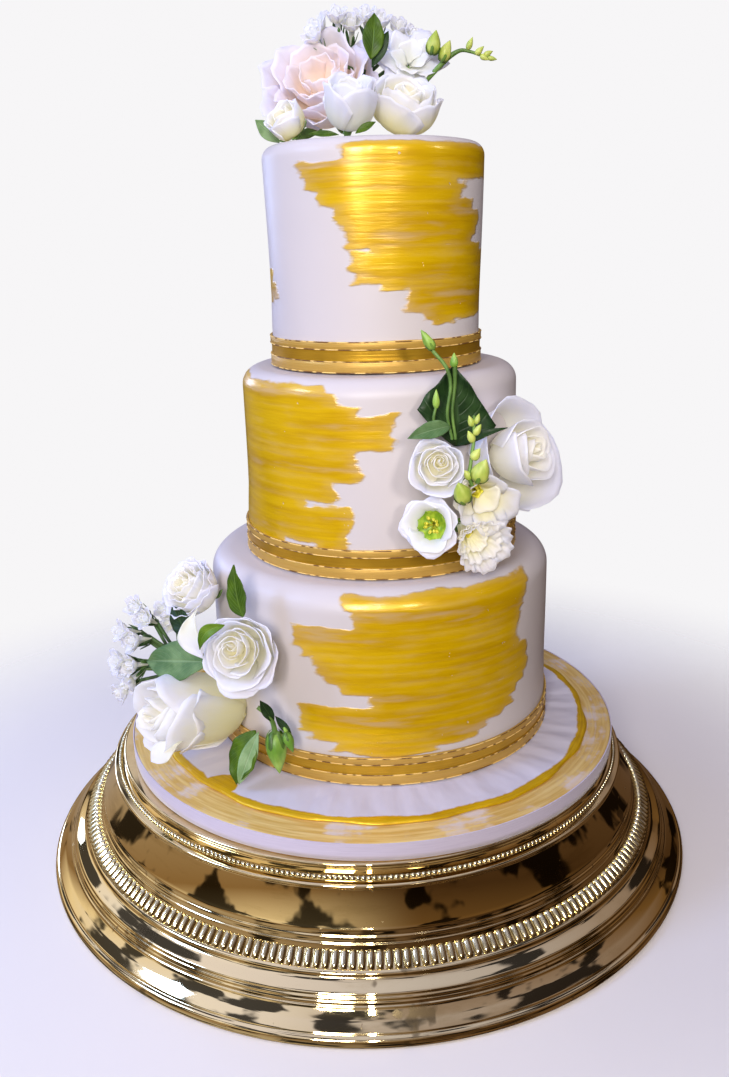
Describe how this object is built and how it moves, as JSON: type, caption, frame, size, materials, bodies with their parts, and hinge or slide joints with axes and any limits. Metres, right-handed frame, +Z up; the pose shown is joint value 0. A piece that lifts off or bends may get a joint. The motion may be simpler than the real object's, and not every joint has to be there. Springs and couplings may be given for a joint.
{
  "type": "tiered wedding cake",
  "caption": "Round tiered wedding cake with gold brushwork, gold ribbons and fresh flower sprays, on an iced board and a stepped mirror-gold stand.",
  "frame": {"origin": "middle of the stand's base, on the surface it stands on", "axes": "+Z up through the stand's axis, -Y out of the front of the cake, +X to the viewer's right"},
  "size_m": [0.475, 0.475, 0.5729],
  "materials": {
    "gold_metal": "mirror polished, gold coloured",
    "gold_wash": "iced board top with a thin brushed gold wash",
    "board_ribbon": "satin",
    "fondant": "smooth matte sugar paste, brushed gold paint in places",
    "ribbon_gold": "satin centre with matte gold edges",
    "petal_blush": "soft matte petals",
    "petal_white": "soft matte petals",
    "petal_cream": "soft matte petals",
    "leaf_green": "smooth leaf",
    "bud_green": "smooth stems and closed buds"
  },
  "bodies": {
    "root": {"stand_body": "gold_metal", "stand_rib_band": "gold_metal", "stand_bead_ring": "gold_metal", "board_drum": "gold_wash", "board_ribbon": "board_ribbon", "board_iced_disc": "fondant", "tier_bottom": "fondant", "tier_middle": "fondant", "tier_top": "fondant", "ribbon_bottom": "ribbon_gold", "ribbon_middle": "ribbon_gold", "ribbon_top": "ribbon_gold", "rose_top_large": "petal_blush", "rose_top_cup": "petal_white", "rose_top_cream": "petal_cream", "lisianthus_top": "petal_white", "lisianthus_top_small": "petal_cream", "rose_middle_large": "petal_cream", "rose_middle_small": "petal_cream", "lisianthus_middle": "petal_white", "freesia_middle_upper": "petal_cream", "freesia_middle_lower": "petal_cream", "rose_bottom_upper": "petal_cream", "rose_bottom_right": "petal_cream", "rose_bottom_large": "petal_cream", "floret_top_a": "petal_white", "floret_top_b": "petal_white", "floret_top_c": "petal_white", "floret_top_d": "petal_white", "floret_side_a": "petal_white", "floret_side_b": "petal_white", "floret_side_c": "petal_white", "floret_side_d": "petal_white", "floret_side_e": "petal_white", "floret_side_f": "petal_white", "floret_side_g": "petal_white", "bud_freesia_top_a": "bud_green", "bud_freesia_top_b": "bud_green", "bud_freesia_middle_a": "bud_green", "bud_freesia_middle_b": "bud_green", "bud_lisianthus_tip": "bud_green", "bud_bottom_large": "bud_green", "bud_bottom_small": "bud_green", "leaf_top": "leaf_green", "leaf_top_side": "leaf_green", "leaf_middle_large": "leaf_green", "leaf_middle_small": "leaf_green", "leaf_bottom_large": "leaf_green", "leaf_bottom_tall": "leaf_green", "leaf_bottom_curled": "leaf_green", "leaf_bottom_low": "leaf_green", "sprig_freesia_top": "bud_green", "sprig_freesia_middle": "bud_green", "stem_lisianthus_a": "bud_green", "stem_lisianthus_b": "bud_green", "sprig_bottom": "bud_green"}
  },
  "joints": []
}
